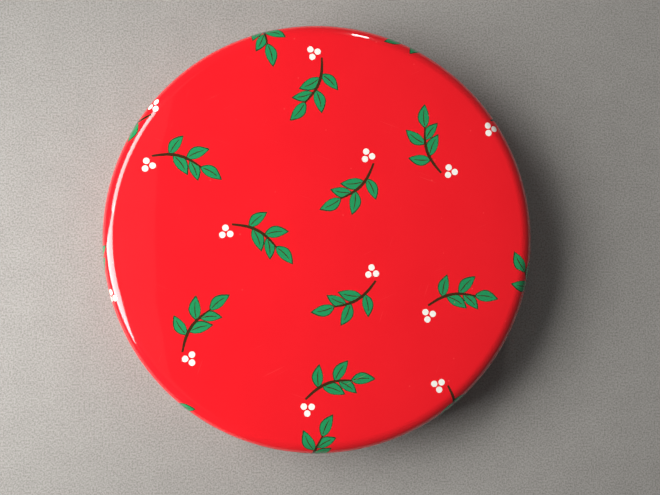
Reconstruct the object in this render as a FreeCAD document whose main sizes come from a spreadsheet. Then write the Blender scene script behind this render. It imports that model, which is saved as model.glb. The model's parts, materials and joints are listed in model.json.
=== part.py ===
"""A round slip-lid tin used as a bobbin box.

A drawn lid slips over a shallow tin whose bottom is seamed on. Inside, a wooden peg board stands
on four feet and lifts out by two finger holes. It carries wound sewing machine bobbins on pegs,
one in the middle and the rest on two rings. Lengths are in millimetres. The origin is the middle
of the tin's resting ring, +Z is up, and the tin's side lap is on the +Y side.
"""
import FreeCAD
import Part
import Sketcher
import math
import os
import re

# Driving sizes: alias, value, what it measures

SIZES = (
    ("lid_diameter", 220.0, "outside of the lid's skirt"),
    ("shoulder_radius", 8.5, "outside of the lid's rounded shoulder"),
    ("tin_gauge", 0.3, "thickness of the tinplate"),
    ("slip_gap", 0.35, "between the lid's skirt and the tin's wall, all round"),
    ("lid_curl", 2.0, "across the lid's rolled edge"),
    ("reveal", 14.0, "height of the lid's rolled edge above the table"),
    ("stop_bead", 1.2, "how far the wall's stop bead stands out"),
    ("seat_gap", 0.2, "between the lid's rolled edge and the stop bead"),
    ("rim_curl", 2.0, "across the wall's rolled rim"),
    ("curl_turn", 300.0, "degrees that each rolled edge turns"),
    ("side_lap", 5.0, "width of the wall's side lap"),
    ("lap_gap", 0.4, "from the side lap's ends to the rim and to the bottom"),
    ("seam_gap", 0.05, "between the wall and the bottom seam"),
    ("seam_fold", 0.9, "thickness of the bottom seam's outer fold"),
    ("seam_height", 3.0, "height of the bottom seam"),
    ("foot_round", 0.4, "rounding of the bottom seam"),
    ("panel_rise", 3.0, "from the table to the bottom's recessed rim"),
    ("panel_bend", 0.8, "outside of the bend at the bottom's rim"),
    ("panel_margin", 14.0, "width of the bottom's lower rim"),
    ("panel_step", 0.6, "rise of the bottom's middle panel"),
    ("step_run", 1.2, "width of the slope up to the middle panel"),
    ("board_gap", 1.0, "between the peg board and the wall's rim"),
    ("board_thickness", 5.0, "peg board"),
    ("board_round", 0.8, "rounding of the peg board's edge"),
    ("foot_height", 7.0, "feet under the peg board"),
    ("foot_diameter", 12.0, "feet under the peg board"),
    ("foot_chamfer", 0.6, "bevel round the underside of each foot"),
    ("foot_count", 4, "number of feet"),
    ("finger_hole", 22.0, "diameter of the finger holes"),
    ("ring_margin", 22.3, "from the peg board's edge to the outer ring of pegs"),
    ("inner_count", 8, "pegs on the inner ring"),
    ("outer_count", 16, "pegs on the outer ring"),
    ("peg_height", 9.5, "pegs above the board"),
    ("peg_socket", 3.0, "depth of the peg holes"),
    ("peg_round", 1.0, "rounding of the pegs' tops"),
    ("glue_gap", 0.05, "round a peg in its hole"),
    ("peg_clearance", 0.25, "between a peg and a bobbin's bore, all round"),
    ("bobbin_diameter", 20.3, "across the flanges"),
    ("bobbin_height", 11.7, "over the flanges"),
    ("bobbin_bore", 6.1, "through the hub"),
    ("hub_wall", 1.4, "wall of the hub"),
    ("flange_thickness", 1.0, "bobbin flanges"),
    ("flange_round", 0.3, "rounding of the flanges"),
    ("flange_hole", 2.2, "diameter of the holes in the flanges"),
    ("flange_hole_count", 6, "holes in each flange"),
    ("winding_gap", 0.05, "between the thread and the spool"),
    ("winding_crown", 0.3, "how far the wound thread swells in its middle"),
    ("full_margin", 0.9, "from the flange's edge in to the thread on a full bobbin"),
    ("part_margin", 1.8, "the same on a bobbin partly used"),
    ("low_margin", 3.1, "the same on a bobbin much used"),
    ("headroom", 6.1, "over the bobbins, under the lid"),
)

document = FreeCAD.newDocument("bobbin_box")
sheet = document.addObject("Spreadsheet::Sheet", "Sizes")
for row, (alias, number, meaning) in enumerate(SIZES, start=1):
    sheet.set(f"A{row}", meaning)
    sheet.set(f"B{row}", str(number))
    sheet.setAlias(f"B{row}", alias)
document.recompute()

ALIASES = re.compile(r"\b(" + "|".join(alias for alias, _, _ in SIZES) + r")\b")


def cells(expression):
    """Point each alias in an expression at its cell in the sheet."""
    return ALIASES.sub(r"Sizes.\1", expression)


def value(expression):
    """What an expression of the sheet's sizes comes to."""
    return float(sheet.evalExpression(cells(expression)))


# Heights and radii that the driving sizes lead to

PANEL_TOP = "(panel_rise + panel_step + tin_gauge)"
BOARD_UNDERSIDE = f"({PANEL_TOP} + foot_height)"
BOARD_TOP = f"({BOARD_UNDERSIDE} + board_thickness)"
LID_CEILING = f"({BOARD_TOP} + bobbin_height + headroom)"
LID_TOP = f"({LID_CEILING} + tin_gauge)"
SHOULDER_START = f"({LID_TOP} - shoulder_radius)"

LID_RADIUS = "(lid_diameter / 2)"
WALL_RADIUS = f"({LID_RADIUS} - tin_gauge - slip_gap)"
WALL_INSIDE = f"({WALL_RADIUS} - tin_gauge)"
BOARD_RADIUS = f"({WALL_RADIUS} - rim_curl - board_gap)"
OUTER_RING = f"({BOARD_RADIUS} - ring_margin)"
INNER_RING = f"({OUTER_RING} / 2)"
FINGER_RING = f"(({INNER_RING} + {OUTER_RING}) / 2)"

PEG_RADIUS = "(bobbin_bore / 2 - peg_clearance)"
HUB_RADIUS = "(bobbin_bore / 2 + hub_wall)"
FLANGE_RADIUS = "(bobbin_diameter / 2)"

INNER_STEP = "(360 / inner_count)"
OUTER_STEP = "(360 / outer_count)"

# Which way an arc of an outline turns, looking along the outline

LEFT = 1
RIGHT = -1


def new_body(label):
    """An empty body named for its piece."""
    body = document.addObject("PartDesign::Body", label)
    body.Label = label
    return body


def place(piece, across="0", back="0", up="0"):
    """Bind a piece's place to the sheet."""
    for letter, expression in zip("xyz", (across, back, up)):
        piece.setExpression(f"Placement.Base.{letter}", cells(expression))


def new_sketch(body, name, plane):
    """An empty sketch on one of the body's own planes."""
    sketch = body.newObject("Sketcher::SketchObject", name)
    support = next(item for item in body.Origin.OriginFeatures if item.Role == plane)
    sketch.AttachmentSupport = (support, [""])
    sketch.MapMode = "FlatFace"
    return sketch


def constrain(sketch, kind, *where, expression):
    """Add a dimension to a sketch and bind it to the sheet."""
    index = sketch.addConstraint(Sketcher.Constraint(kind, *where, value(expression)))
    sketch.setExpression(f"Constraints[{index}]", cells(expression))


def arc_between(start, end, radius, turn):
    """The arc of under half a circle from start to end that turns the given way."""
    chord = end - start
    to_centre = math.sqrt(radius ** 2 - (chord.Length / 2) ** 2)
    sideways = FreeCAD.Vector(-chord.y, chord.x, 0).normalize()
    centre = (start + end) / 2 + sideways * (turn * to_centre)
    first, last = (start, end) if turn == LEFT else (end, start)
    angles = [math.atan2(point.y - centre.y, point.x - centre.x) for point in (first, last)]
    if angles[1] < angles[0]:
        angles[1] += 2 * math.pi
    return Part.ArcOfCircle(Part.Circle(centre, FreeCAD.Vector(0, 0, 1), radius), *angles)


def outline_sketch(body, name, corners, plane="XZ_Plane"):
    """A closed sketch through corners of (across, up), each an expression of the sizes.

    A corner that also has a radius and a turn starts an arc to the next corner.
    """
    sketch = new_sketch(body, name, plane)
    points = [FreeCAD.Vector(value(corner[0]), value(corner[1]), 0) for corner in corners]
    ends = []
    for index, corner in enumerate(corners):
        start, end = points[index], points[(index + 1) % len(points)]
        if len(corner) == 2:
            sketch.addGeometry(Part.LineSegment(start, end))
            ends.append((1, 2))
        else:
            radius, turn = corner[2:]
            sketch.addGeometry(arc_between(start, end, value(radius), turn))
            ends.append((1, 2) if turn == LEFT else (2, 1))
    for index, corner in enumerate(corners):
        following = (index + 1) % len(corners)
        joint = (index, ends[index][1], following, ends[following][0])
        sketch.addConstraint(Sketcher.Constraint("Coincident", *joint))
        at = (index, ends[index][0])
        for kind, axis, expression in (("DistanceX", -2, corner[0]), ("DistanceY", -1, corner[1])):
            if expression == "0":
                sketch.addConstraint(Sketcher.Constraint("PointOnObject", *at, axis))
            else:
                constrain(sketch, kind, -1, 1, *at, expression=expression)
        if len(corner) > 2:
            constrain(sketch, "Radius", index, expression=corner[2])
    return sketch


def revolve(body, name, corners, plane="XZ_Plane", sweep=None):
    """Turn an outline about the upright axis, all round or by an angle about its own plane."""
    sketch = outline_sketch(body, f"{name}_outline", corners, plane)
    turned = body.newObject("PartDesign::Revolution", name)
    turned.Profile = (sketch, [""])
    turned.ReferenceAxis = (sketch, ["V_Axis"])
    turned.Angle = 360
    if sweep:
        turned.Midplane = True
        turned.setExpression("Angle", cells(sweep))
    document.recompute()
    return turned


def round_hole(body, name, across, back, diameter, floor="0"):
    """Cut a round hole upwards from a height in the body, right through its top."""
    sketch = new_sketch(body, f"{name}_circle", "XY_Plane")
    sketch.setExpression("AttachmentOffset.Base.z", cells(floor))
    centre = FreeCAD.Vector(value(across), value(back), 0)
    radius = f"({diameter}) / 2"
    sketch.addGeometry(Part.Circle(centre, FreeCAD.Vector(0, 0, 1), value(radius)))
    for kind, axis, expression in (("DistanceX", -2, across), ("DistanceY", -1, back)):
        if expression == "0":
            sketch.addConstraint(Sketcher.Constraint("PointOnObject", 0, 3, axis))
        else:
            constrain(sketch, kind, -1, 1, 0, 3, expression=expression)
    constrain(sketch, "Radius", 0, expression=radius)
    hole = body.newObject("PartDesign::Pocket", name)
    hole.Profile = (sketch, [""])
    hole.Reversed = True
    hole.Type = "ThroughAll"
    document.recompute()
    return hole


def repeat_round(body, name, feature, count):
    """Repeat a feature evenly about the body's upright axis."""
    pattern = body.newObject("PartDesign::PolarPattern", name)
    pattern.Originals = [feature]
    pattern.Axis = (next(item for item in body.Origin.OriginFeatures if item.Role == "Z_Axis"), [""])
    pattern.Angle = 360
    pattern.setExpression("Occurrences", cells(count))
    body.Tip = pattern
    document.recompute()
    return pattern


def curl_point(centre, radius, angle):
    """The point of a rolled edge at an angle about its centre."""
    across, up = centre
    return f"{across} + {radius} * cos({angle})", f"{up} + {radius} * sin({angle})"


def make_lid():
    """The drawn lid: flat panel, rounded shoulder, straight skirt, edge rolled outwards."""
    body = new_body("lid")
    outside = "(lid_curl / 2)"
    inside = "(lid_curl / 2 - tin_gauge)"
    middle = (f"({LID_RADIUS} - tin_gauge + {outside})", f"(reveal + {outside})")
    last = "(curl_turn - 180)"
    revolve(body, "drawn_lid", [
        ("0", LID_TOP),
        (f"{LID_RADIUS} - shoulder_radius", LID_TOP, "shoulder_radius", RIGHT),
        (LID_RADIUS, SHOULDER_START),
        (*curl_point(middle, inside, 180), inside, LEFT),
        (*curl_point(middle, inside, 270), inside, LEFT),
        (*curl_point(middle, inside, 0), inside, LEFT),
        curl_point(middle, inside, last),
        (*curl_point(middle, outside, last), outside, RIGHT),
        (*curl_point(middle, outside, 0), outside, RIGHT),
        (*curl_point(middle, outside, 270), outside, RIGHT),
        curl_point(middle, outside, 180),
        (f"{LID_RADIUS} - tin_gauge", SHOULDER_START, "shoulder_radius - tin_gauge", LEFT),
        (f"{LID_RADIUS} - shoulder_radius", LID_CEILING),
        ("0", LID_CEILING),
    ])
    return body


def make_wall():
    """The tin's wall: a rolled sheet with a stop bead, a rim rolled inwards and a side lap."""
    body = new_body("tin_wall")
    bottom = "(tin_gauge + seam_gap)"
    outside = "(rim_curl / 2)"
    inside = "(rim_curl / 2 - tin_gauge)"
    middle = (f"({WALL_RADIUS} - {outside})", SHOULDER_START)
    last = "curl_turn"
    # The bead stops the lid's rolled edge: both are round, and meet on the line of their centres
    aside = "(lid_curl / 2 + slip_gap)"
    apart = "(stop_bead + lid_curl / 2 + seat_gap)"
    bead = f"(reveal + lid_curl / 2 - sqrt({apart}^2 - {aside}^2))"
    hollow = "(stop_bead - tin_gauge)"
    mouth = f"sqrt({hollow}^2 - tin_gauge^2)"
    revolve(body, "rolled_wall", [
        (WALL_RADIUS, bottom),
        (WALL_RADIUS, f"{bead} - stop_bead", "stop_bead", LEFT),
        (f"{WALL_RADIUS} + stop_bead", bead, "stop_bead", LEFT),
        (WALL_RADIUS, f"{bead} + stop_bead"),
        (*curl_point(middle, outside, 0), outside, LEFT),
        (*curl_point(middle, outside, 90), outside, LEFT),
        (*curl_point(middle, outside, 180), outside, LEFT),
        curl_point(middle, outside, last),
        (*curl_point(middle, inside, last), inside, RIGHT),
        (*curl_point(middle, inside, 180), inside, RIGHT),
        (*curl_point(middle, inside, 90), inside, RIGHT),
        curl_point(middle, inside, 0),
        (WALL_INSIDE, f"{bead} + {mouth}", hollow, RIGHT),
        (f"{WALL_RADIUS} + {hollow}", bead, hollow, RIGHT),
        (WALL_INSIDE, f"{bead} - {mouth}"),
        (WALL_INSIDE, bottom),
    ])
    lap_inside = f"{WALL_INSIDE} - tin_gauge"
    lap_outside = f"{WALL_INSIDE} + tin_gauge / 2"
    spans = {
        "lower_lap": ("panel_rise + tin_gauge + lap_gap", f"{bead} - stop_bead"),
        "upper_lap": (f"{bead} + stop_bead", f"{SHOULDER_START} - {outside} - lap_gap"),
    }
    for name, (low, high) in spans.items():
        revolve(body, name, [
            (lap_inside, low),
            (lap_outside, low),
            (lap_outside, high),
            (lap_inside, high),
        ], plane="YZ_Plane", sweep=f"side_lap / {WALL_INSIDE} * 180 / pi")
    return body


def make_bottom():
    """The bottom: a stepped panel whose edge folds down, under the wall and up its outside."""
    body = new_body("bottom_plate")
    inner_leg = f"({WALL_INSIDE} - seam_gap)"
    inner_face = f"({inner_leg} - tin_gauge)"
    outer_leg = f"({WALL_RADIUS} + seam_gap)"
    outer_face = f"({outer_leg} + seam_fold)"
    rim_top = "(panel_rise + tin_gauge)"
    middle_panel = f"({inner_face} - panel_margin)"
    inner_bend = "(panel_bend - tin_gauge)"
    revolve(body, "seamed_bottom", [
        ("0", "panel_rise + panel_step"),
        (middle_panel, "panel_rise + panel_step"),
        (f"{middle_panel} + step_run", "panel_rise"),
        (f"{inner_face} - {inner_bend}", "panel_rise", inner_bend, RIGHT),
        (inner_face, f"panel_rise - {inner_bend}"),
        (inner_face, "foot_round", "foot_round", LEFT),
        (f"{inner_face} + foot_round", "0"),
        (f"{outer_face} - foot_round", "0", "foot_round", LEFT),
        (outer_face, "foot_round"),
        (outer_face, "seam_height - foot_round", "foot_round", LEFT),
        (f"{outer_face} - foot_round", "seam_height"),
        (outer_leg, "seam_height"),
        (outer_leg, "tin_gauge"),
        (inner_leg, "tin_gauge"),
        (inner_leg, f"{rim_top} - panel_bend", "panel_bend", LEFT),
        (f"{inner_leg} - panel_bend", rim_top),
        (f"{middle_panel} + step_run", rim_top),
        (middle_panel, PANEL_TOP),
        ("0", PANEL_TOP),
    ])
    return body


def on_ring(ring, angle):
    """A place on a ring about the upright axis, across and back."""
    if ring == "0":
        return "0", "0"
    if angle == "0":
        return ring, "0"
    return f"{ring} * cos({angle})", f"{ring} * sin({angle})"


# Each ring of pegs: its name, radius, the first peg's angle and the number of pegs

PEG_RINGS = (
    ("middle", "0", "0", "1"),
    ("inner", INNER_RING, "0", "inner_count"),
    ("outer", OUTER_RING, f"{OUTER_STEP} / 2", "outer_count"),
)


def peg_places():
    """Every peg's place, in the order that the bobbins are numbered."""
    places = []
    for _, ring, first, count in PEG_RINGS:
        for index in range(int(value(count))):
            places.append(on_ring(ring, f"{first} + {index} * 360 / {count}"))
    return places


def make_board():
    """The peg board: a wooden disc with blind holes for its pegs and two finger holes."""
    body = new_body("peg_board")
    disc = revolve(body, "disc", [
        ("0", "0"),
        (f"{BOARD_RADIUS} - board_round", "0", "board_round", LEFT),
        (BOARD_RADIUS, "board_round"),
        (BOARD_RADIUS, "board_thickness - board_round", "board_round", LEFT),
        (f"{BOARD_RADIUS} - board_round", "board_thickness"),
        ("0", "board_thickness"),
    ])
    finger_place = on_ring(FINGER_RING, f"{INNER_STEP} / 2")
    finger = round_hole(body, "finger_hole_cut", *finger_place, "finger_hole")
    repeat_round(body, "finger_holes", finger, "2")
    for name, ring, first, count in PEG_RINGS:
        socket = round_hole(body, f"{name}_socket", *on_ring(ring, first),
                            f"2 * ({PEG_RADIUS} + glue_gap)", "board_thickness - peg_socket")
        if count != "1":
            repeat_round(body, f"{name}_sockets", socket, count)
    place(body, up=BOARD_UNDERSIDE)
    print("holes take", round(disc.Shape.Volume - body.Shape.Volume), "mm3 out of the board")
    return body


def make_pegs():
    """The pegs: round-topped dowels, one in each blind hole of the board."""
    master = new_body("peg")
    revolve(master, "dowel", [
        ("0", "0"),
        (PEG_RADIUS, "0"),
        (PEG_RADIUS, "peg_socket + peg_height - peg_round", "peg_round", LEFT),
        (f"{PEG_RADIUS} - peg_round", "peg_socket + peg_height"),
        ("0", "peg_socket + peg_height"),
    ])
    links = []
    for index, (across, back) in enumerate(peg_places(), start=1):
        link = document.addObject("App::Link", f"peg_{index:02d}")
        link.LinkedObject = master
        place(link, across, back)
        links.append(link)
    pegs = document.addObject("Part::Compound", "board_pegs")
    pegs.Links = links
    place(pegs, up=f"{BOARD_TOP} - peg_socket")
    return pegs


def make_feet():
    """The feet: short dowels glued under the board, one quarter turn apart."""
    body = new_body("board_feet")
    body.AllowCompound = True
    foot_radius = "(foot_diameter / 2)"
    sketch = outline_sketch(body, "foot_outline", [
        (OUTER_RING, "0"),
        (f"{OUTER_RING} + {foot_radius} - foot_chamfer", "0"),
        (f"{OUTER_RING} + {foot_radius}", "foot_chamfer"),
        (f"{OUTER_RING} + {foot_radius}", "foot_height"),
        (OUTER_RING, "foot_height"),
    ])
    foot = body.newObject("PartDesign::Revolution", "foot")
    foot.Profile = (sketch, [""])
    foot.ReferenceAxis = (sketch, ["Edge5"])
    foot.Angle = 360
    document.recompute()
    repeat_round(body, "feet", foot, "foot_count")
    place(body, up=PANEL_TOP)
    return body


def make_spool(label):
    """A bobbin: a clear plastic hub between two flanges with thread holes."""
    body = new_body(label)
    upper = "(bobbin_height - flange_thickness)"
    revolve(body, f"{label}_turned", [
        ("bobbin_bore / 2", "0"),
        (f"{FLANGE_RADIUS} - flange_round", "0", "flange_round", LEFT),
        (FLANGE_RADIUS, "flange_round"),
        (FLANGE_RADIUS, "flange_thickness - flange_round", "flange_round", LEFT),
        (f"{FLANGE_RADIUS} - flange_round", "flange_thickness"),
        (HUB_RADIUS, "flange_thickness"),
        (HUB_RADIUS, upper),
        (f"{FLANGE_RADIUS} - flange_round", upper, "flange_round", LEFT),
        (FLANGE_RADIUS, f"{upper} + flange_round"),
        (FLANGE_RADIUS, "bobbin_height - flange_round", "flange_round", LEFT),
        (f"{FLANGE_RADIUS} - flange_round", "bobbin_height"),
        ("bobbin_bore / 2", "bobbin_height"),
    ])
    hole = round_hole(body, f"{label}_hole", f"({HUB_RADIUS} + {FLANGE_RADIUS}) / 2", "0", "flange_hole")
    repeat_round(body, f"{label}_holes", hole, "flange_hole_count")
    return body


def make_winding(label, margin):
    """The thread on a bobbin: a slightly crowned barrel between the flanges."""
    body = new_body(label)
    low = "(flange_thickness + winding_gap)"
    high = "(bobbin_height - flange_thickness - winding_gap)"
    inside = f"{HUB_RADIUS} + winding_gap"
    edge = f"{FLANGE_RADIUS} - {margin} - winding_crown"
    half = f"(({high} - {low}) / 2)"
    crown_radius = f"({half}^2 + winding_crown^2) / (2 * winding_crown)"
    revolve(body, f"{label}_turned", [
        (inside, low),
        (edge, low, crown_radius, LEFT),
        (edge, high),
        (inside, high),
    ])
    return body


def repeat_piece(label, master):
    """Another of a piece, in its own place."""
    link = document.addObject("App::Link", label)
    link.LinkedObject = master
    link.Label = label
    return link


FILL_ORDER = ("full_margin", "part_margin", "full_margin", "low_margin", "full_margin")


def make_bobbins():
    """A wound bobbin on every peg: a spool and its thread, some fuller than others."""
    pieces = []
    masters = {}
    for index, (across, back) in enumerate(peg_places(), start=1):
        margin = FILL_ORDER[(index - 1) % len(FILL_ORDER)]
        makers = {
            "bobbin": ("spool", make_spool, ()),
            "thread": (margin, make_winding, (margin,)),
        }
        for stem, (kind, maker, details) in makers.items():
            label = f"{stem}_{index:02d}"
            if kind in masters:
                piece = repeat_piece(label, masters[kind])
            else:
                piece = maker(label, *details)
                masters[kind] = piece
            place(piece, across, back, BOARD_TOP)
            pieces.append(piece)
    return pieces


pieces = [make_lid(), make_wall(), make_bottom(), make_board(), make_pegs(), make_feet()]
pieces += make_bobbins()
document.recompute()

for item in document.Objects:
    if "Invalid" in item.State or "Error" in item.State:
        raise RuntimeError(f"{item.Label} failed: {item.State}")

shapes = {}
for piece in pieces:
    shape = Part.getShape(piece)
    if shape.isNull() or not shape.isValid() or not shape.Solids:
        raise RuntimeError(f"{piece.Label} has no valid solid")
    shapes[piece.Label] = shape

os.makedirs("parts", exist_ok=True)
for label, shape in shapes.items():
    shape.exportStep(f"parts/{label}.step")
    print(label, len(shape.Solids), "solids", round(shape.Volume, 1), "mm3")
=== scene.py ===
# %% [markdown]
# # A red printed tin that keeps sewing machine bobbins
# The object is a shallow round tin with a slip lid. The lid is drawn from printed and varnished
# tinplate, so it is smooth, very glossy and a little uneven. Inside, a wooden peg board holds wound
# bobbins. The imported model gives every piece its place, and this script gives each one its finish.
# Nearly every piece here is turned about an upright line, so most of them are made by Spin.

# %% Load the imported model
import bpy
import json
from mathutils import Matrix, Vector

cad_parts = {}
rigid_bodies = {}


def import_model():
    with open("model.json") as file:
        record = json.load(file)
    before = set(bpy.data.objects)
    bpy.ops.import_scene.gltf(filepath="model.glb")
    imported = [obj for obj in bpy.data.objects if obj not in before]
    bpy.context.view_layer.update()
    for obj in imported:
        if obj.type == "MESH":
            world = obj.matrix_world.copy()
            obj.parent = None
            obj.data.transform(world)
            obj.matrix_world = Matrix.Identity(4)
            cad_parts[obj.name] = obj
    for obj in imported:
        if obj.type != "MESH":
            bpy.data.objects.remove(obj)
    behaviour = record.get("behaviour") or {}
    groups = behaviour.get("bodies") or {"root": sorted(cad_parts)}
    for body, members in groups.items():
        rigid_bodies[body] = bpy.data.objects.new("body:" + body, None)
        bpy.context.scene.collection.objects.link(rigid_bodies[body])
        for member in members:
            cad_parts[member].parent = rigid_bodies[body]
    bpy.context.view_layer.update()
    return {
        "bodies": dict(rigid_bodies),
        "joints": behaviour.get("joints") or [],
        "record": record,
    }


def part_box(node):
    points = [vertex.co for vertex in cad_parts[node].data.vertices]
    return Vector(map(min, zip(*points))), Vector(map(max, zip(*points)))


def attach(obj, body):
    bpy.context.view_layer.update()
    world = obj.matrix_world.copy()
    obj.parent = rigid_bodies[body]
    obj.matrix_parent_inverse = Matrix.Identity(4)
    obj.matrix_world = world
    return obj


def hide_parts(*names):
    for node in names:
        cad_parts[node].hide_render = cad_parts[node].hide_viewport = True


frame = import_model()

import json
import math
import random
import bpy
from mathutils import Matrix, Vector

MM = 0.001
SLOT_OF = {row["node"]: row["material_slot"] for row in frame["record"]["subparts"]}
JOINT_AT = {joint["child"]: joint.get("pos_m") for joint in frame["joints"]}

# %% [markdown]
# ## The camera
# The picture is taken by hand from straight above, close to the tin and a little to one side, so
# the view leans by a few degrees. Near things look much larger from so close, and the lid hides all
# that is below it. The camera is set by where it stands and by the point of the lid it looks at.

# %% Camera
LID_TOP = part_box("lid")[1][2]
CAMERA_PLACE = Vector((-10.8 * MM, -13.7 * MM, LID_TOP + 266.6 * MM))
CAMERA_TARGET = Vector((4.1 * MM, -5.5 * MM, LID_TOP))
CAMERA_LENS = 29.1
SENSOR_WIDTH = 36
NEAREST_SEEN = 5 * MM


def look_from(place, target, top):
    """The turn that points a camera or lamp at a target, with its top towards a direction."""
    back = (place - target).normalized()
    right = Vector(top).cross(back).normalized()
    up = back.cross(right)
    return Matrix((right, up, back)).transposed().to_4x4()


camera_data = bpy.data.cameras.new("camera")
camera_data.lens = CAMERA_LENS
camera_data.sensor_width = SENSOR_WIDTH
camera_data.sensor_fit = "HORIZONTAL"
camera_data.clip_start = NEAREST_SEEN
camera = bpy.data.objects.new("camera", camera_data)
CAMERA_TURN = look_from(CAMERA_PLACE, CAMERA_TARGET, (0, 1, 0))
camera.matrix_world = Matrix.Translation(CAMERA_PLACE) @ CAMERA_TURN
bpy.context.collection.objects.link(camera)
bpy.context.scene.camera = camera
print("camera at", [round(value, 4) for value in CAMERA_PLACE])

# %% [markdown]
# ## Helpers for materials
# Colours are written as the hex values that a colour picker shows, and Blender's shaders want them
# linear, so one function turns them. Another adds a node, sets it and links it in one line.


# %% Material helpers
def srgb(code):
    """A hex colour as linear red, green, blue and alpha."""
    parts = [int(code[place:place + 2], 16) / 255 for place in (1, 3, 5)]
    linear = [part / 12.92 if part <= 0.04045 else ((part + 0.055) / 1.055) ** 2.4 for part in parts]
    return (*linear, 1.0)


def add_node(tree, kind, links=None, **settings):
    """Add a node, set its options, and set or link its inputs."""
    made = tree.nodes.new(kind)
    for name, setting in settings.items():
        setattr(made, name, setting)
    for socket, source in (links or {}).items():
        if isinstance(source, bpy.types.NodeSocket):
            tree.links.new(source, made.inputs[socket])
        else:
            made.inputs[socket].default_value = source
    return made


def new_material(name, **sockets):
    """A material with one Principled shader, its plain values set on the shader's own sockets."""
    material = bpy.data.materials.new(name)
    material.use_nodes = True
    shader = material.node_tree.nodes["Principled BSDF"]
    for socket, setting in sockets.items():
        shader.inputs[socket.replace("_", " ")].default_value = setting
    return material, material.node_tree, shader


def per_length(millimetres):
    """The texture scale whose pattern repeats about once in a length."""
    return 1 / (millimetres * MM)


# %% [markdown]
# ## Varnished print on tinplate
# The sheet is printed flat in opaque red ink, varnished, and then drawn into a lid. Varnish over ink
# is a clear coat over a smooth coloured base. The eye sees a sharp reflection, a faint orange peel,
# long soft waves where the sheet isn't quite flat, and a few paler hairline scratches and specks.

# %% Red printed tin
RED_INK = "#E61A24"
RED_INK_WORN = "#E01520"
SCRATCH_PALE = "#FF6A66"
SCRATCH_STRENGTH = 0.22
# Each lay of scratches: its turn in radians, and the length and width of its pattern in millimetres.
# Real hairlines are finer, and these are as coarse as they need to be to show.
SCRATCH_LAYS = ((0.35, 26, 0.50), (1.9, 18, 0.45), (2.7, 32, 0.55))


def varnish_bump(tree, place):
    """The surface of a varnished tin: its waves, orange peel and scratches, and where it is scratched."""
    waves = add_node(tree, "ShaderNodeTexNoise", {"Vector": place, "Scale": per_length(45), "Detail": 1.0})
    peel = add_node(tree, "ShaderNodeTexNoise", {"Vector": place, "Scale": per_length(1.6), "Detail": 2.0})
    rolling = add_node(tree, "ShaderNodeBump", {"Height": waves.outputs["Fac"], "Strength": 0.10,
                                                "Distance": 1.2 * MM})
    bump = add_node(tree, "ShaderNodeBump", {"Height": peel.outputs["Fac"], "Strength": 0.05,
                                             "Distance": 0.05 * MM, "Normal": rolling.outputs["Normal"]})
    dots = add_node(tree, "ShaderNodeTexVoronoi", {"Vector": place, "Scale": per_length(10)})
    dust = add_node(tree, "ShaderNodeMapRange", {"Value": dots.outputs["Distance"], "From Min": 0.03,
                                                 "From Max": 0.05, "To Min": 1.0, "To Max": 0.0})
    worn = dust.outputs["Result"]
    for turn, length, width in SCRATCH_LAYS:
        turned = add_node(tree, "ShaderNodeMapping", {"Vector": place, "Rotation": (0, 0, turn)})
        lay = add_node(tree, "ShaderNodeMapping", {"Vector": turned.outputs["Vector"],
                                                   "Scale": (per_length(length), per_length(width), 1.0)})
        streak = add_node(tree, "ShaderNodeTexNoise", {"Vector": lay.outputs["Vector"], "Scale": 1.0,
                                                       "Detail": 0.0})
        line = add_node(tree, "ShaderNodeMapRange", {"Value": streak.outputs["Fac"], "From Min": 0.86,
                                                     "From Max": 0.90})
        bump = add_node(tree, "ShaderNodeBump", {"Height": line.outputs["Result"], "Strength": 0.12,
                                                 "Distance": 0.03 * MM, "Normal": bump.outputs["Normal"]})
        worn = add_node(tree, "ShaderNodeMath", {0: worn, 1: line.outputs["Result"]},
                        operation="MAXIMUM").outputs["Value"]
    return bump.outputs["Normal"], worn


def printed_tin(name, ink, worn_ink):
    """Opaque ink on tinplate under a hard clear varnish."""
    material, tree, shader = new_material(name, Roughness=0.14, Coat_Weight=1.0, Coat_Roughness=0.012,
                                          Coat_IOR=1.5, Specular_IOR_Level=0.1)
    place = add_node(tree, "ShaderNodeTexCoord").outputs["Object"]
    normal, worn = varnish_bump(tree, place)
    mottle = add_node(tree, "ShaderNodeTexNoise", {"Vector": place, "Scale": per_length(30), "Detail": 4.0})
    colour = add_node(tree, "ShaderNodeMix", {"Factor": mottle.outputs["Fac"], "A": srgb(ink),
                                              "B": srgb(worn_ink)}, data_type="RGBA")
    faint = add_node(tree, "ShaderNodeMath", {0: worn, 1: SCRATCH_STRENGTH}, operation="MULTIPLY")
    scratched = add_node(tree, "ShaderNodeMix", {"Factor": faint.outputs["Value"],
                                                 "A": colour.outputs["Result"],
                                                 "B": srgb(SCRATCH_PALE)}, data_type="RGBA")
    tree.links.new(scratched.outputs["Result"], shader.inputs["Base Color"])
    tree.links.new(normal, shader.inputs["Normal"])
    tree.links.new(normal, shader.inputs["Coat Normal"])
    return material


red_tin = printed_tin("varnished_red_tinplate", RED_INK, RED_INK_WORN)

# %% [markdown]
# ## Bare tinplate
# The inside of the tin isn't printed. It is steel with a thin layer of tin under a pale gold lacquer,
# so it is a metal, softly mirrored, with fine lines along the way the sheet was rolled.

# %% Lacquered tinplate
TINPLATE = "#D8D2C2"
TINPLATE_DULL = "#B9B2A0"


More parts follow.
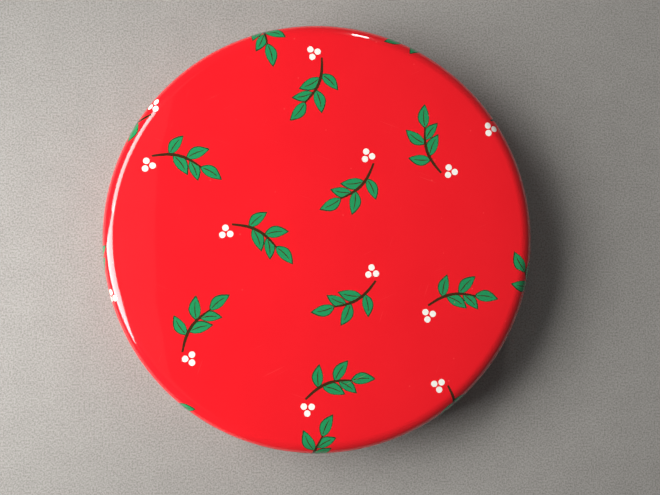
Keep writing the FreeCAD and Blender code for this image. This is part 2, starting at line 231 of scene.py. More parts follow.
def lacquered_tinplate():
    """Tin-coated steel sheet with rolling lines and a little dulling."""
    material, tree, shader = new_material("lacquered_tinplate", Metallic=1.0)
    place = add_node(tree, "ShaderNodeTexCoord").outputs["Object"]
    lay = add_node(tree, "ShaderNodeMapping", {"Vector": place, "Scale": (per_length(30), per_length(0.5),
                                                                          per_length(0.5))})
    rolling = add_node(tree, "ShaderNodeTexNoise", {"Vector": lay.outputs["Vector"], "Scale": 1.0,
                                                    "Detail": 2.0})
    dulling = add_node(tree, "ShaderNodeTexNoise", {"Vector": place, "Scale": per_length(18),
                                                    "Detail": 5.0})
    colour = add_node(tree, "ShaderNodeMix", {"Factor": dulling.outputs["Fac"], "A": srgb(TINPLATE),
                                              "B": srgb(TINPLATE_DULL)}, data_type="RGBA")
    rough = add_node(tree, "ShaderNodeMapRange", {"Value": rolling.outputs["Fac"], "To Min": 0.22,
                                                  "To Max": 0.38})
    bump = add_node(tree, "ShaderNodeBump", {"Height": rolling.outputs["Fac"], "Strength": 0.08,
                                             "Distance": 0.05 * MM})
    tree.links.new(colour.outputs["Result"], shader.inputs["Base Color"])
    tree.links.new(rough.outputs["Result"], shader.inputs["Roughness"])
    tree.links.new(bump.outputs["Normal"], shader.inputs["Normal"])
    return material


tinplate = lacquered_tinplate()

# %% [markdown]
# ## Turning a piece
# A lathe shape is an outline turned about the upright axis. Blender's Spin does this: a circle gives
# a ring of linked points, the points move to the outline, and Spin sweeps them round. Doubles are
# then merged where the sweep meets itself, and normals are set to point out.

# %% Lathe
SAME_POINT = 0.0001 * MM
MERGE = 0.002 * MM
SMOOTH = 40


def arc(middle, radius, start, end, count):
    """Points along an arc of an outline, angles in degrees."""
    across, up = middle
    turns = [math.radians(start + (end - start) * step / count) for step in range(count + 1)]
    return [(across + radius * math.cos(turn), up + radius * math.sin(turn)) for turn in turns]


def edit_all():
    """Go into edit mode with everything selected."""
    bpy.ops.object.mode_set(mode="EDIT")
    bpy.ops.mesh.select_all(action="SELECT")


def select_only(piece):
    """Select one object and make it active."""
    bpy.ops.object.select_all(action="DESELECT")
    piece.select_set(True)
    bpy.context.view_layer.objects.active = piece


def lathe(name, outline, steps=192, smooth=SMOOTH):
    """Turn a closed outline of (across, up) points about the upright axis."""
    points = [point for index, point in enumerate(outline)
              if math.dist(point, outline[index - 1]) > SAME_POINT]
    bpy.ops.object.select_all(action="DESELECT")
    bpy.ops.mesh.primitive_circle_add(vertices=len(points), radius=MM)
    piece = bpy.context.object
    piece.name = piece.data.name = name
    for vertex, (across, up) in zip(piece.data.vertices, points):
        vertex.co = (across, 0, up)
    edit_all()
    bpy.ops.mesh.spin(steps=steps, angle=math.tau, center=(0, 0, 0), axis=(0, 0, 1))
    bpy.ops.mesh.select_all(action="SELECT")
    bpy.ops.mesh.remove_doubles(threshold=MERGE)
    bpy.ops.mesh.delete_loose()
    bpy.ops.mesh.select_all(action="SELECT")
    bpy.ops.mesh.normals_make_consistent(inside=False)
    bpy.ops.object.mode_set(mode="OBJECT")
    bpy.ops.object.shade_smooth_by_angle(angle=math.radians(smooth))
    print(name, len(piece.data.polygons), "faces")
    return piece


def finish_piece(piece, body, slot, *nodes):
    """Say what a finished piece rides on and which nodes it stands for. Its slot, the finish it takes, is
    not used.
    """
    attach(piece, body)
    if nodes:
        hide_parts(*nodes)


def two_sided(piece, outside, inside, is_outside):
    """Give the faces that a test picks the outside finish, and the rest the inside finish."""
    piece.data.materials.append(outside)
    piece.data.materials.append(inside)
    for face in piece.data.polygons:
        across = math.hypot(face.center.x, face.center.y)
        outward = (face.normal.x * face.center.x + face.normal.y * face.center.y) / max(across, MM)
        face.material_index = 0 if is_outside(across, face.center.z, outward, face.normal.z) else 1


# %% [markdown]
# ## The lid
# A press draws the lid from one sheet: a flat panel, a rounded shoulder and a straight skirt, whose
# cut edge is rolled outwards so that it isn't sharp. The outline follows both faces of the sheet.

# %% Lid
GAUGE = 0.3 * MM
LID_RADIUS = 110 * MM
SHOULDER = 8.5 * MM
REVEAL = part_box("lid")[0][2]
CURL = 1.0 * MM
CURL_END = 120
SHOULDER_MIDDLE = (LID_RADIUS - SHOULDER, LID_TOP - SHOULDER)
LID_CURL_MIDDLE = (LID_RADIUS - GAUGE + CURL, REVEAL + CURL)

PANEL_RING_GAP = 14.5 * MM
PANEL_RINGS = [ring * PANEL_RING_GAP for ring in range(7)]
lid_outline = [(ring, LID_TOP) for ring in PANEL_RINGS]
lid_outline += arc(SHOULDER_MIDDLE, SHOULDER, 90, 0, 20)
lid_outline += arc(LID_CURL_MIDDLE, CURL - GAUGE, 180, 360 + CURL_END, 20)
lid_outline += arc(LID_CURL_MIDDLE, CURL, 360 + CURL_END, 180, 24)
lid_outline += arc(SHOULDER_MIDDLE, SHOULDER - GAUGE, 0, 90, 20)
lid_outline += [(ring, LID_TOP - GAUGE) for ring in reversed(PANEL_RINGS)]
lid = lathe("lid_shell", lid_outline, steps=256)


def lid_outside(across, up, outward, upward):
    """The printed faces: the panel, shoulder and skirt from outside, and the rolled edge."""
    return upward + outward > 0 or up < REVEAL + 2 * CURL and across > LID_RADIUS - GAUGE / 2


two_sided(lid, red_tin, tinplate, lid_outside)
finish_piece(lid, "lid", "printed_tin", "lid")

# %% [markdown]
# ## The print on the lid
# Small leafy sprigs are scattered over the red. They are printed while the sheet is flat and bend over
# the shoulder with it. One flat sprig is modelled as thin films of ink, then copied to each place and
# wrapped onto the lid, so the outlines stay sharp from close by. The sprig is plain ornament: a dark
# curved stem, pairs of almond leaves with a darker edge and rib, and round white berries.

# %% Ink finishes
INKS = {
    "leaf_edge": ("dark_green_ink", "#24452A", "#1D3A22"),
    "leaf": ("green_ink", "#23935A", "#1B7F4B"),
    "stem": ("brown_ink", "#3F2A14", "#33200E"),
    "berry": ("white_ink", "#F4F1EA", "#E6E2D8"),
}
ink_finish = {key: printed_tin(*words) for key, words in INKS.items()}

# %% Flat sprig
LEAF_LENGTH = 12.5 * MM
LEAF_WIDTH = 6.0 * MM
EDGE_WIDTH = 0.38 * MM
RIB_WIDTH = 0.45 * MM
STEM_LENGTH = 25 * MM
STEM_WIDTH = 1.5 * MM
STEM_BOW = 3.2 * MM
BERRY_RADIUS = 1.6 * MM


def stem_point(share):
    """A point of the sprig's curved stem, from its foot at 0 to its tip at 1."""
    return Vector(((share - 0.5) * STEM_LENGTH, STEM_BOW * math.sin(math.pi * share), 0))


TIP_MERGE = 0.01 * MM


def flat_grid(name, along, sides, shape):
    """A flat grid whose corners go where a shape of (share along, share across) says."""
    bpy.ops.object.select_all(action="DESELECT")
    bpy.ops.mesh.primitive_grid_add(x_subdivisions=along, y_subdivisions=sides, size=1)
    piece = bpy.context.object
    piece.name = piece.data.name = name
    for vertex in piece.data.vertices:
        vertex.co = shape(vertex.co.x + 0.5, vertex.co.y * 2)
    edit_all()
    bpy.ops.mesh.remove_doubles(threshold=TIP_MERGE)
    bpy.ops.mesh.normals_make_consistent(inside=False)
    bpy.ops.object.mode_set(mode="OBJECT")
    return piece


LEAF_SWAY = 0.06
LEAF_FULLNESS = 0.9
LEAF_WIDEST = 0.85


def leaf_shape(foot, turn, length, width):
    """An almond leaf that grows from its foot in a direction."""
    along = Vector((math.cos(turn), math.sin(turn), 0))
    aside = Vector((-along.y, along.x, 0))

    def shape(share, side):
        swell = math.sin(math.pi * share ** LEAF_WIDEST) ** LEAF_FULLNESS if 0 < share < 1 else 0
        sway = LEAF_SWAY * length * math.sin(math.pi * share)
        return foot + along * (length * share) + aside * (side * swell * width / 2 + sway)
    return shape


STRIP_END = 0.35


def strip_shape(line, width):
    """A strip along a line that thins to both ends."""
    def shape(share, side):
        ahead = (line(min(share + 0.01, 1)) - line(max(share - 0.01, 0))).normalized()
        taper = STRIP_END + (1 - STRIP_END) * math.sin(math.pi * (0.15 + 0.8 * share))
        return line(share) + Vector((-ahead.y, ahead.x, 0)) * (side * width / 2 * taper)
    return shape


def disc_shape(middle, radius):
    """A round spot, its rings squeezed from a grid's rings."""
    def shape(share, side):
        across, up = share * 2 - 1, side
        reach = max(abs(across), abs(up))
        turn = math.atan2(up, across)
        return middle + Vector((math.cos(turn), math.sin(turn), 0)) * (radius * reach)
    return shape


# Each leaf: where its foot is along the stem, its turn from the stem in radians, and its relative size.
LEAF_PLACES = [(0.32, 0.95, 0.95), (0.40, -0.85, 1.0), (0.66, 0.8, 1.0),
               (0.74, -0.7, 0.9), (0.97, 0.05, 1.0)]
# Each berry: its place across and up from the middle of the sprig, in millimetres.
BERRY_PLACES = [(-14.5, -3.0), (-11.0, -4.6), (-14.2, -6.8)]
EDGE_AT_FOOT = 1.6 * EDGE_WIDTH
EDGE_AT_ENDS = 4 * EDGE_WIDTH
RIB_START, RIB_LENGTH = 0.08, 0.72


def flat_sprig():
    """One sprig on the flat sheet, a list of grids for each ink."""
    films = {key: [] for key in INKS}
    for share, turn, size in LEAF_PLACES:
        foot = stem_point(share)
        ahead = stem_point(min(share + 0.02, 1)) - stem_point(share - 0.02)
        turn += math.atan2(ahead.y, ahead.x)
        length, width = LEAF_LENGTH * size, LEAF_WIDTH * size
        films["leaf_edge"].append(flat_grid("leaf_edge", 18, 6, leaf_shape(foot, turn, length, width)))
        grow = Vector((math.cos(turn), math.sin(turn), 0)) * EDGE_AT_FOOT
        inner = leaf_shape(foot + grow, turn, length - EDGE_AT_ENDS, width - EDGE_WIDTH * 2)
        films["leaf"].append(flat_grid("leaf", 18, 6, inner))

        def rib(share, inner=inner):
            return inner(RIB_START + RIB_LENGTH * share, 0)
        films["stem"].append(flat_grid("rib", 14, 2, strip_shape(rib, RIB_WIDTH)))
    films["stem"].append(flat_grid("stem", 28, 2, strip_shape(stem_point, STEM_WIDTH)))
    for across, up in BERRY_PLACES:
        spot = Vector((across * MM, up * MM, 0))
        films["berry"].append(flat_grid("berry", 8, 8, disc_shape(spot, BERRY_RADIUS)))
    return films


def join_pieces(name, parts):
    """Join objects into one, named for what they make."""
    bpy.ops.object.select_all(action="DESELECT")
    for part in parts:
        part.select_set(True)
    bpy.context.view_layer.objects.active = parts[0]
    if len(parts) > 1:
        bpy.ops.object.join()
    joined = bpy.context.object
    joined.name = joined.data.name = name
    return joined


sprig = {key: join_pieces(f"sprig_{key}", parts) for key, parts in flat_sprig().items()}
print("sprig faces", {key: len(film.data.polygons) for key, film in sprig.items()})

# %% [markdown]
# The sprigs stand on three rings of the flat sheet, each turned its own way, and the outer ring runs
# over the shoulder and down the skirt. Wrapping keeps the distance along the sheet: on the panel a
# point stays put, on the shoulder it follows the bend, and past that it goes straight down.

# %% Print the lid
# Each ring of sprigs: its radius, how many stand on it, and where the first stands in turns.
PRINT_RINGS = [(33 * MM, 3, 0.50), (76 * MM, 6, 0.10), (113 * MM, 9, 0.30)]
INK_LIFT = {"leaf_edge": 0.012 * MM, "leaf": 0.022 * MM, "stem": 0.032 * MM, "berry": 0.022 * MM}
FILM = 0.02 * MM
PANEL_REACH = LID_RADIUS - SHOULDER
BEND_LENGTH = SHOULDER * math.pi / 2
PRINT_MARGIN = 0.3 * MM
PRINT_END = PANEL_REACH + BEND_LENGTH + (LID_TOP - SHOULDER) - (REVEAL + 2 * CURL) - PRINT_MARGIN
SPRIG_SEED = 11
SPRIG_SWING = 0.06
SPRIG_DRIFT = 5 * MM


def on_lid(point, lift):
    """Where a point of the flat printed sheet lies on the drawn lid."""
    reach = min(point.length, PRINT_END)
    turn = math.atan2(point.y, point.x)
    bend = min(max((reach - PANEL_REACH) / SHOULDER, 0), math.pi / 2)
    down = max(reach - PANEL_REACH - BEND_LENGTH, 0)
    across = min(reach, PANEL_REACH) + (SHOULDER + lift) * math.sin(bend)
    up = LID_TOP - SHOULDER - down + (SHOULDER + lift) * math.cos(bend)
    return Vector((across * math.cos(turn), across * math.sin(turn), up))


draw = random.Random(SPRIG_SEED)
prints = {key: [] for key in INKS}
for ring, count, first in PRINT_RINGS:
    for index in range(count):
        around = (first + index / count) * math.tau + draw.uniform(-SPRIG_SWING, SPRIG_SWING)
        out = ring + draw.uniform(-SPRIG_DRIFT, SPRIG_DRIFT)
        turned = Matrix.Rotation(draw.uniform(0, math.tau), 4, "Z")
        middle = Vector((out * math.cos(around), out * math.sin(around), 0))
        for key, film in sprig.items():
            mesh = film.data.copy()
            for vertex in mesh.vertices:
                vertex.co = on_lid(turned @ vertex.co + middle, INK_LIFT[key])
            copy = bpy.data.objects.new(f"{key}_{len(prints[key])}", mesh)
            bpy.context.collection.objects.link(copy)
            prints[key].append(copy)

for key, copies in prints.items():
    bpy.data.objects.remove(sprig[key])
    film = join_pieces(f"print_{key}", copies)
    film.data.materials.append(ink_finish[key])
    select_only(film)
    thick = film.modifiers.new("film", "SOLIDIFY")
    thick.thickness = FILM
    thick.offset = -1
    bpy.ops.object.modifier_apply(modifier="film")
    bpy.ops.object.shade_smooth_by_angle(angle=math.radians(SMOOTH))
    finish_piece(film, "lid", "printed_tin")
    print(film.name, len(film.data.polygons), "faces")

# %% [markdown]
# ## The tin's wall and bottom
# The wall is a strip rolled round and lapped at the back. A bead stops the lid, the top edge rolls
# inwards, and the bottom folds over the lower edge in a seam that the tin stands on. The wall is
# printed plain red outside, and the bottom is bare.

# %% Tin wall
SLIP = 0.35 * MM
WALL_RADIUS = LID_RADIUS - GAUGE - SLIP
WALL_INSIDE = WALL_RADIUS - GAUGE
BEAD = 1.2 * MM
SEAT_GAP = 0.2 * MM
BEAD_UP = REVEAL + CURL - math.sqrt((BEAD + CURL + SEAT_GAP) ** 2 - (CURL + SLIP) ** 2)
BEAD_HOLLOW = BEAD - GAUGE
BEAD_MOUTH = math.degrees(math.acos(GAUGE / BEAD_HOLLOW))
RIM_MIDDLE = (WALL_RADIUS - CURL, LID_TOP - SHOULDER)
SEAM_GAP = 0.05 * MM
WALL_FOOT = GAUGE + SEAM_GAP
RIM_END = 300

wall_outline = [(WALL_RADIUS, WALL_FOOT)]
wall_outline += arc((WALL_RADIUS, BEAD_UP), BEAD, -90, 90, 16)
wall_outline += arc(RIM_MIDDLE, CURL, 0, RIM_END, 24)
wall_outline += arc(RIM_MIDDLE, CURL - GAUGE, RIM_END, 0, 20)
wall_outline += arc((WALL_RADIUS, BEAD_UP), BEAD_HOLLOW, 180 - BEAD_MOUTH, BEAD_MOUTH - 180, 16)
wall_outline += [(WALL_INSIDE, WALL_FOOT)]
wall = lathe("tin_wall_shell", wall_outline, steps=256)


def wall_outside(across, up, outward, upward):
    """The printed face of the wall: what looks outwards and isn't the hollow of the rim."""
    return outward > 0 and across > WALL_INSIDE + GAUGE / 2


two_sided(wall, red_tin, tinplate, wall_outside)

# %% [markdown]
# Where the strip's ends lap, a second thickness of sheet shows inside as a narrow upright band, once
# above the bead and once below it.

# %% Side lap
LAP_WIDTH = 5.0 * MM
LAP_GAP = 0.4 * MM
PANEL_RISE = 3.0 * MM
LAP_SPANS = [(BEAD_UP + BEAD, LID_TOP - SHOULDER - CURL - LAP_GAP),
             (PANEL_RISE + GAUGE + LAP_GAP, BEAD_UP - BEAD)]


def lap_band(low, high):
    """A thin curved band inside the wall, on the +Y side."""
    bpy.ops.object.select_all(action="DESELECT")
    bpy.ops.mesh.primitive_cube_add(size=1)
    band = bpy.context.object
    edit_all()
    bpy.ops.mesh.subdivide(number_cuts=4)
    bpy.ops.object.mode_set(mode="OBJECT")
    for vertex in band.data.vertices:
        turn = vertex.co.x * LAP_WIDTH / WALL_INSIDE
        reach = WALL_INSIDE - GAUGE / 2 + vertex.co.y * GAUGE
        up = (low + high) / 2 + vertex.co.z * (high - low)
        vertex.co = (reach * math.sin(turn), reach * math.cos(turn), up)
    band.data.materials.append(tinplate)
    return band


wall = join_pieces("tin_wall_shell", [wall] + [lap_band(low, high) for low, high in LAP_SPANS])
finish_piece(wall, "tin", "printed_tin", "tin_wall")

# %% [markdown]
# The bottom is pressed from the same sheet. Its panel stands clear of the table on a leg that runs down
# inside the wall, turns under its edge and folds up outside it. The tin stands on that fold. The outline
# goes round both faces of the sheet, so Spin gives a closed shell with its real thickness.

# %% Bottom
SEAM_HEIGHT = 3.0 * MM
FOOT_ROUND = 0.4 * MM
PANEL_STEP = 0.6 * MM
PANEL_BEND = 0.8 * MM
FOLD_THICKNESS = 0.9 * MM
PANEL_INSET = 14 * MM
LEG_OUTSIDE = WALL_INSIDE - SEAM_GAP
LEG_INSIDE = LEG_OUTSIDE - GAUGE
FOLD_INSIDE = WALL_RADIUS + SEAM_GAP
FOLD_OUTSIDE = FOLD_INSIDE + FOLD_THICKNESS
PANEL_RADIUS = LEG_INSIDE - PANEL_INSET
STEP_RUN = 1.2 * MM
BEND_MIDDLE = (LEG_OUTSIDE - PANEL_BEND, PANEL_RISE + GAUGE - PANEL_BEND)

bottom_outline = [(0, PANEL_RISE + PANEL_STEP), (PANEL_RADIUS, PANEL_RISE + PANEL_STEP),
                  (PANEL_RADIUS + STEP_RUN, PANEL_RISE)]
bottom_outline += arc(BEND_MIDDLE, PANEL_BEND - GAUGE, 90, 0, 6)
bottom_outline += arc((LEG_INSIDE + FOOT_ROUND, FOOT_ROUND), FOOT_ROUND, 180, 270, 5)
bottom_outline += arc((FOLD_OUTSIDE - FOOT_ROUND, FOOT_ROUND), FOOT_ROUND, 270, 360, 5)
bottom_outline += arc((FOLD_OUTSIDE - FOOT_ROUND, SEAM_HEIGHT - FOOT_ROUND), FOOT_ROUND, 0, 90, 5)
bottom_outline += [(FOLD_INSIDE, SEAM_HEIGHT), (FOLD_INSIDE, GAUGE), (LEG_OUTSIDE, GAUGE)]
bottom_outline += arc(BEND_MIDDLE, PANEL_BEND, 0, 90, 6)
bottom_outline += [(PANEL_RADIUS + STEP_RUN, PANEL_RISE + GAUGE),
                   (PANEL_RADIUS, PANEL_RISE + PANEL_STEP + GAUGE), (0, PANEL_RISE + PANEL_STEP + GAUGE)]
bottom = lathe("bottom_shell", bottom_outline, steps=256)
bottom.data.materials.append(tinplate)
finish_piece(bottom, "tin", "bare_tinplate", "bottom_plate")

# %% [markdown]
# ## Birch for the peg board
# The board, its pegs and its feet are pale sanded birch. Its grain is a set of long, gently waving
# bands across the board with fine pores along them, and no varnish, only a little oil.

# %% Birch
BIRCH_PALE = "#DDBF93"
BIRCH_DARK = "#C59D6A"


def oiled_birch():
    """Sanded birch with a thin coat of oil."""
    material, tree, shader = new_material("oiled_birch", Roughness=0.5, Specular_IOR_Level=0.35)
    place = add_node(tree, "ShaderNodeTexCoord").outputs["Object"]
    lay = add_node(tree, "ShaderNodeMapping", {"Vector": place, "Rotation": (0, 0, 0.3),
                                               "Scale": (0.06, 1.0, 1.0)})
    bands = add_node(tree, "ShaderNodeTexNoise", {"Vector": lay.outputs["Vector"], "Scale": per_length(7),
                                                  "Detail": 6.0, "Distortion": 0.6})
    pores = add_node(tree, "ShaderNodeTexNoise", {"Vector": lay.outputs["Vector"], "Scale": per_length(0.8),
                                                  "Detail": 2.0})
    sharp = add_node(tree, "ShaderNodeMapRange", {"Value": bands.outputs["Fac"], "From Min": 0.35,
                                                  "From Max": 0.68})
    colour = add_node(tree, "ShaderNodeMix", {"Factor": sharp.outputs["Result"], "A": srgb(BIRCH_PALE),
                                              "B": srgb(BIRCH_DARK)}, data_type="RGBA")
    bump = add_node(tree, "ShaderNodeBump", {"Height": pores.outputs["Fac"], "Strength": 0.25,
                                             "Distance": 0.1 * MM})
    tree.links.new(colour.outputs["Result"], shader.inputs["Base Color"])
    tree.links.new(bump.outputs["Normal"], shader.inputs["Normal"])
    return material


birch = oiled_birch()

# %% [markdown]
# The board is a turned disc with softened edges, and a turned cutter with flared ends takes out the two
# finger holes, so their rims are rounded too. One peg and one foot are turned, then copied to each place:
# a peg stands where each bobbin turns.

# %% Peg board, pegs and feet
BOARD_LOW, BOARD_HIGH = (corner[2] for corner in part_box("peg_board"))
BOARD_GAP = 1.0 * MM
BOARD_RADIUS = WALL_RADIUS - 2 * CURL - BOARD_GAP
BOARD_ROUND = 0.8 * MM
FINGER_RADIUS = 11 * MM
FINGER_RING = 63.04 * MM
FINGER_TURN = math.radians(22.5)
FINGER_ROUND = 1.0 * MM


def cut_away(piece, cutter):
    """Cut one piece with another, and smooth its shading again."""
    select_only(piece)
    cut = piece.modifiers.new("cut", "BOOLEAN")
    cut.object = cutter
    bpy.context.view_layer.update()
    bpy.ops.object.modifier_apply(modifier="cut")
    bpy.ops.object.shade_smooth_by_angle(angle=math.radians(SMOOTH))


board = lathe("birch_board", [(0, BOARD_LOW)]
              + arc((BOARD_RADIUS - BOARD_ROUND, BOARD_LOW + BOARD_ROUND), BOARD_ROUND, -90, 0, 6)
              + arc((BOARD_RADIUS - BOARD_ROUND, BOARD_HIGH - BOARD_ROUND), BOARD_ROUND, 0, 90, 6)
              + [(0, BOARD_HIGH)])
cutter = lathe("finger_cutter", [(0, BOARD_LOW - MM), (FINGER_RADIUS + FINGER_ROUND, BOARD_LOW - MM)]
               + arc((FINGER_RADIUS + FINGER_ROUND, BOARD_LOW + FINGER_ROUND), FINGER_ROUND, -90, -180, 5)
               + arc((FINGER_RADIUS + FINGER_ROUND, BOARD_HIGH - FINGER_ROUND), FINGER_ROUND, 180, 90, 5)
               + [(FINGER_RADIUS + FINGER_ROUND, BOARD_HIGH + MM), (0, BOARD_HIGH + MM)], steps=64)
for side in (1, -1):
    reach = side * FINGER_RING
    cutter.location = (reach * math.cos(FINGER_TURN), reach * math.sin(FINGER_TURN), 0)
    cut_away(board, cutter)
bpy.data.objects.remove(cutter)
board.data.materials.append(birch)
finish_piece(board, "board", "birch", "peg_board")


def ring_places(radius, count):
    """Places spread evenly round the upright axis, the first of them on +X."""
    first = Vector((radius, 0, 0))
    return [Matrix.Rotation(turn * math.tau / count, 3, "Z") @ first for turn in range(count)]


def copies_at(name, master, places):
    """Copies of a modelled piece at each place, joined into one piece."""
    made = []
    for place in places:
        mesh = master.data.copy()
        mesh.transform(Matrix.Translation(place))
        copy = bpy.data.objects.new(name, mesh)
        bpy.context.collection.objects.link(copy)
        made.append(copy)
    bpy.data.objects.remove(master)
    return join_pieces(name, made)


BOBBINS = sorted(name for name in frame["bodies"] if name.startswith("bobbin_"))
PEG_AT = {name: Vector(JOINT_AT[name]) for name in BOBBINS}
PEG_RADIUS = 2.8 * MM
PEG_ROUND = 1.0 * MM
PEG_LOW, PEG_HIGH = (corner[2] - BOARD_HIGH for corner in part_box("board_pegs"))
peg = lathe("peg", [(0, PEG_LOW), (PEG_RADIUS, PEG_LOW)]
            + arc((PEG_RADIUS - PEG_ROUND, PEG_HIGH - PEG_ROUND), PEG_ROUND, 0, 90, 6)
            + [(0, PEG_HIGH)], steps=40)
pegs = copies_at("birch_pegs", peg, PEG_AT.values())
pegs.data.materials.append(birch)
finish_piece(pegs, "board", "birch", "board_pegs")

FOOT_LOW, FOOT_HIGH = (corner[2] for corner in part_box("board_feet"))
FOOT_RADIUS = 6 * MM
FOOT_BEVEL = 0.6 * MM
FOOT_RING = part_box("board_feet")[1][0] - FOOT_RADIUS
FOOT_COUNT = 4
foot = lathe("foot", [(0, FOOT_LOW)]
             + arc((FOOT_RADIUS - FOOT_BEVEL, FOOT_LOW + FOOT_BEVEL), FOOT_BEVEL, -90, 0, 5)
             + [(FOOT_RADIUS, FOOT_HIGH), (0, FOOT_HIGH)], steps=48)
feet = copies_at("birch_feet", foot, ring_places(FOOT_RING, FOOT_COUNT))
feet.data.materials.append(birch)
finish_piece(feet, "board", "birch", "board_feet")

# %% [markdown]
# ## Bobbins and their thread
# A bobbin is moulded in clear styrene: a hub between two thin flanges with holes. Thread lies on the
# hub in close turns. The turns are ridges on a turned barrel, about a third of a millimetre apart, and
# a fine twist and fuzz in the bump make it read as spun thread.

# %% Clear plastic and thread
clear_plastic = new_material("clear_styrene", Base_Color=srgb("#F3F7F8"), Roughness=0.06, IOR=1.55,
                             Transmission_Weight=0.8, Alpha=0.42)[0]

THREAD_COLOURS = {
    "thread_ivory": "#EFE6CF",
    "thread_navy": "#27345A",
    "thread_mustard": "#C98B22",
    "thread_teal": "#1F7A78",
    "thread_rose": "#C64A68",
    "thread_charcoal": "#3A3A3C",
    "thread_leaf_green": "#3F7F45",
    "thread_sky": "#7FAFD2",
}
# The turns of thread lie this far apart, in millimetres.
THREAD_PITCH = 0.34


def spun_thread(name, code):
    """Spun polyester thread: matt, a little fuzzy, each turn slightly different in tone."""
    material, tree, shader = new_material(name, Roughness=0.72, Specular_IOR_Level=0.25, Sheen_Weight=0.35,
                                          Sheen_Roughness=0.45)
    place = add_node(tree, "ShaderNodeTexCoord").outputs["Object"]
    lay = add_node(tree, "ShaderNodeMapping", {"Vector": place, "Scale": (per_length(9), per_length(9),
                                                                          per_length(THREAD_PITCH))})
    turns = add_node(tree, "ShaderNodeTexNoise", {"Vector": lay.outputs["Vector"], "Scale": 1.0,
                                                  "Detail": 3.0})
    tone = add_node(tree, "ShaderNodeMapRange", {"Value": turns.outputs["Fac"], "From Min": 0.3,
                                                 "From Max": 0.7, "To Min": 0.72, "To Max": 1.12})
    colour = add_node(tree, "ShaderNodeMix", {"Factor": 1.0, "A": srgb(code), "B": tone.outputs["Result"]},
                      data_type="RGBA", blend_type="MULTIPLY")
    fuzz = add_node(tree, "ShaderNodeTexNoise", {"Vector": place, "Scale": per_length(0.25), "Detail": 2.0})
    bump = add_node(tree, "ShaderNodeBump", {"Height": fuzz.outputs["Fac"], "Strength": 0.35,
                                             "Distance": 0.06 * MM})
    tree.links.new(colour.outputs["Result"], shader.inputs["Base Color"])
    tree.links.new(bump.outputs["Normal"], shader.inputs["Normal"])
    return material


thread_finish = {name: spun_thread(name, code) for name, code in THREAD_COLOURS.items()}

# %% Bobbins
FLANGE_RADIUS = 10.15 * MM
BOBBIN_HEIGHT = 11.7 * MM
FLANGE = 1.0 * MM
FLANGE_ROUND = 0.3 * MM
BORE_RADIUS = 3.05 * MM
HUB_RADIUS = 4.45 * MM
HOLE_RADIUS = 1.1 * MM
HOLE_RING = (HUB_RADIUS + FLANGE_RADIUS) / 2
HOLE_COUNT = 6


def flange_edge(low):
    """The rounded edge of a flange whose underside is at a height, from below to above."""
    return (arc((FLANGE_RADIUS - FLANGE_ROUND, low + FLANGE_ROUND), FLANGE_ROUND, -90, 0, 4)
            + arc((FLANGE_RADIUS - FLANGE_ROUND, low + FLANGE - FLANGE_ROUND), FLANGE_ROUND, 0, 90, 4))


UPPER_FLANGE = BOBBIN_HEIGHT - FLANGE
spool = lathe("spool", [(BORE_RADIUS, 0)] + flange_edge(0)
              + [(HUB_RADIUS, FLANGE), (HUB_RADIUS, UPPER_FLANGE)]
              + flange_edge(UPPER_FLANGE) + [(BORE_RADIUS, BOBBIN_HEIGHT)], steps=64)
drill = lathe("drill", [(0, -MM), (HOLE_RADIUS, -MM),
                        (HOLE_RADIUS, BOBBIN_HEIGHT + MM), (0, BOBBIN_HEIGHT + MM)], steps=20)
drills = copies_at("drills", drill, ring_places(HOLE_RING, HOLE_COUNT))
cut_away(spool, drills)
bpy.data.objects.remove(drills)

THREAD_GAP = 0.05 * MM
CROWN = 0.3 * MM
RIDGE_END = 80


def wound_barrel(name, reach):
    """Thread wound out to a reach: ridges of turns between the flanges."""
    low, high = FLANGE + THREAD_GAP, UPPER_FLANGE - THREAD_GAP
    turns = round((high - low) / (THREAD_PITCH * MM))
    pitch = (high - low) / turns
    outline = [(HUB_RADIUS + THREAD_GAP, low)]
    for turn in range(turns):
        share = (turn + 0.5) / turns
        crown = CROWN * (1 - (2 * share - 1) ** 2)
        middle = (reach - CROWN + crown - pitch * 0.5, low + (turn + 0.5) * pitch)
        outline += arc(middle, pitch * 0.5, -RIDGE_END, RIDGE_END, 4)
    outline += [(HUB_RADIUS + THREAD_GAP, high)]
    return lathe(name, outline, steps=48, smooth=70)


barrels = {}
for name in BOBBINS:
    number = name.split("_")[1]
    node = f"thread_{number}"
    low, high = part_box(node)
    reach = round((high[0] - low[0]) / 2, 5)
    if reach not in barrels:
        barrels[reach] = wound_barrel(f"barrel_{len(barrels)}", reach)
    for piece_name, master, slot, finish, replaced in (
            (f"clear_bobbin_{number}", spool, "clear_plastic", clear_plastic, name),
            (f"wound_thread_{number}", barrels[reach], SLOT_OF[node], thread_finish[SLOT_OF[node]], node)):
        mesh = master.data.copy()
        mesh.transform(Matrix.Translation(PEG_AT[name]))
        mesh.materials.append(finish)
        piece = bpy.data.objects.new(piece_name, mesh)
        bpy.context.collection.objects.link(piece)
        finish_piece(piece, name, slot, replaced)
for master in (spool, *barrels.values()):
    bpy.data.objects.remove(master)
print("bobbins", len(BOBBINS), "thread sizes", sorted(barrels))

# %% [markdown]
# ## Floor and light
# The tin lies on a plain pale surface, a matt worktop with fine grit, lit from the left by a tall window.
# A second, higher pane stands beside it. The two put a long highlight with a step in it on the left
# shoulder, and the shadow falls to the right. A small far pane gives the short highlight at the lid's
# top edge. A pale wall above the window shows softly in the left of the lid, and a dim, even world
# fills the shadow.

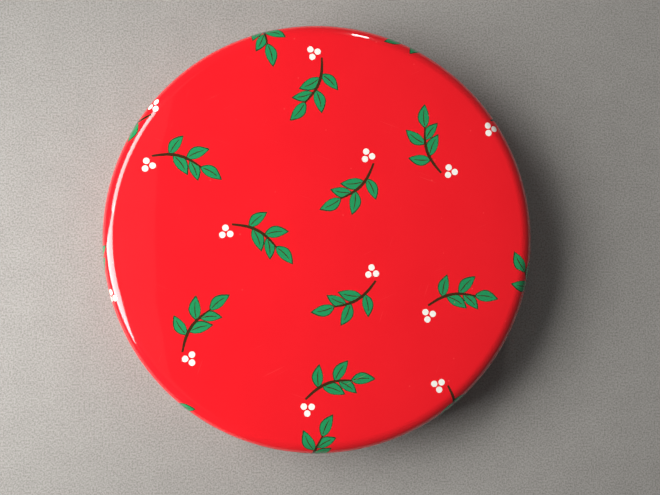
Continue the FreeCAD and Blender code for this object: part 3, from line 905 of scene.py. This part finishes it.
# %% Floor
FLOOR_SIZE = 6.0
FLOOR_DARK = "#7A7772"
FLOOR_PALE = "#A6A39E"
GRIT_SHARE = 0.75
bpy.ops.object.select_all(action="DESELECT")
bpy.ops.mesh.primitive_plane_add(size=FLOOR_SIZE)
floor = bpy.context.object
floor.name = "floor"
floor_finish, floor_tree, floor_shader = new_material("matt_pale_worktop", Roughness=0.6,
                                                      Specular_IOR_Level=0.2)
floor_place = add_node(floor_tree, "ShaderNodeTexCoord").outputs["Object"]
cloud = add_node(floor_tree, "ShaderNodeTexNoise", {"Vector": floor_place, "Scale": per_length(14),
                                                    "Detail": 4.0})
grain = add_node(floor_tree, "ShaderNodeTexNoise", {"Vector": floor_place, "Scale": per_length(0.9),
                                                    "Detail": 1.0})
grit = add_node(floor_tree, "ShaderNodeMapRange", {"Value": grain.outputs["Fac"], "From Min": 0.25,
                                                   "From Max": 0.62})
speckle = add_node(floor_tree, "ShaderNodeMix", {"Factor": GRIT_SHARE, "A": cloud.outputs["Fac"],
                                                 "B": grit.outputs["Result"]})
floor_colour = add_node(floor_tree, "ShaderNodeMix", {"Factor": speckle.outputs["Result"],
                                                      "A": srgb(FLOOR_DARK), "B": srgb(FLOOR_PALE)},
                        data_type="RGBA")
floor_tree.links.new(floor_colour.outputs["Result"], floor_shader.inputs["Base Color"])
floor.data.materials.append(floor_finish)

# %% Light
# Each pane: its place, the point it faces, the direction of its top, its width, its height and its power.
# Lengths are in metres and power is in watts.
PANES = {
    "tall_pane": ((-0.47, -0.06, 0.35), (0, -0.01, 0.35), (0, 0.3, 1), 0.26, 0.48, 4.6),
    "upper_pane": ((-0.42, 0.20, 0.44), (0, 0, 0.44), (0, 0, 1), 0.26, 0.34, 3.1),
    "far_pane": ((0.135, 0.62, 0.34), (0.10, 0, 0.34), (0, 0, 1), 0.05, 0.18, 0.4),
    "pale_wall": ((-1.15, 0.0, 1.60), (-1.15, 0.0, 0), (0, 1, 0), 1.30, 2.0, 0.8),
}
PANE_SPREAD = math.radians(150)
for name, (place, facing, top, width, height, energy) in PANES.items():
    pane_data = bpy.data.lights.new(name, "AREA")
    pane_data.shape = "RECTANGLE"
    pane_data.size = width
    pane_data.size_y = height
    pane_data.energy = energy
    pane_data.spread = PANE_SPREAD
    pane = bpy.data.objects.new(name, pane_data)
    pane.matrix_world = Matrix.Translation(place) @ look_from(Vector(place), Vector(facing), top)
    bpy.context.collection.objects.link(pane)

ROOM_COLOUR = "#F4F6F8"
ROOM_STRENGTH = 0.10
world = bpy.data.worlds.new("room")
bpy.context.scene.world = world
world.use_nodes = True
background = world.node_tree.nodes["Background"]
background.inputs["Color"].default_value = srgb(ROOM_COLOUR)
background.inputs["Strength"].default_value = ROOM_STRENGTH
print("panes", list(PANES))
bpy.context.scene.view_settings.view_transform = "Standard"
